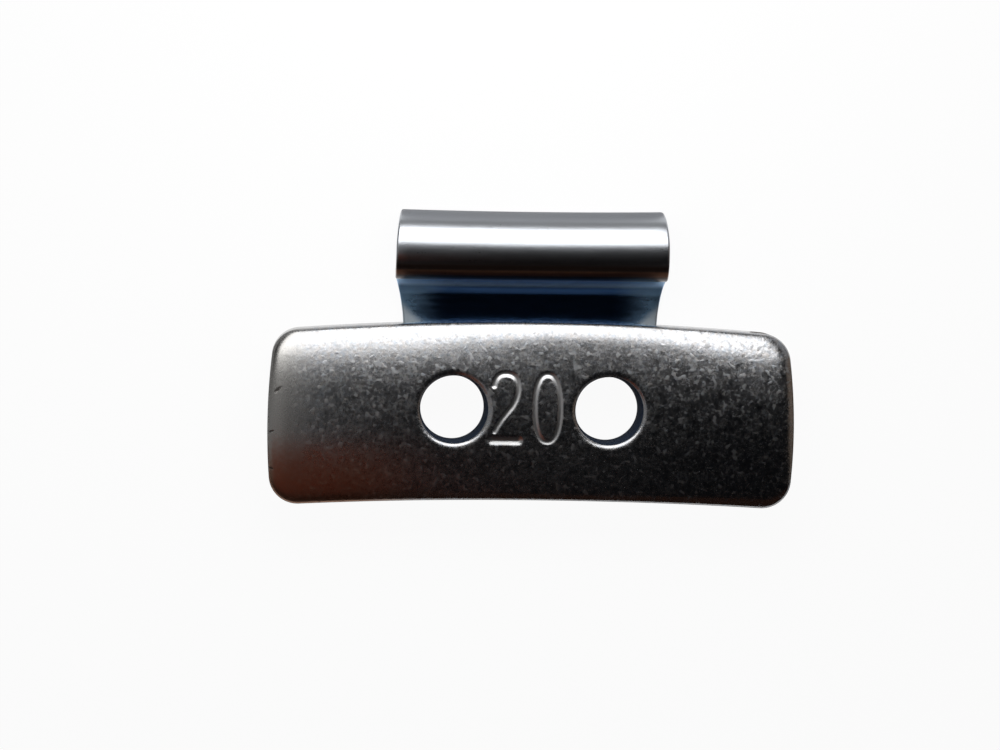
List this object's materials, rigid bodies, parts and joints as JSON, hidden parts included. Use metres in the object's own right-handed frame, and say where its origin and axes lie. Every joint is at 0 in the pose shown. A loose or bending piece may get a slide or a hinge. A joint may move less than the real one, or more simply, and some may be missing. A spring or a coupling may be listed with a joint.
{
  "type": "wheel balance weight",
  "caption": "Clip-on wheel balance weight: an arched, rounded steel body with round through holes, held by a bent strip clip whose hook grips the lip of a steel rim.",
  "frame": {"origin": "middle of the flat back, on the line between the two holes", "axes": "+X along the rim, +Y out towards the rim's lip and the hook, +Z out of the front face; it lies on its back"},
  "size_m": [0.04, 0.0224, 0.0051],
  "materials": {
    "plated_body": "tumbled zinc plate, grey with a fine grain",
    "plated_strip": "smooth bright zinc plate on rolled strip"
  },
  "bodies": {
    "root": {"weight_body": "plated_body", "rim_clip": "plated_strip"}
  },
  "joints": []
}
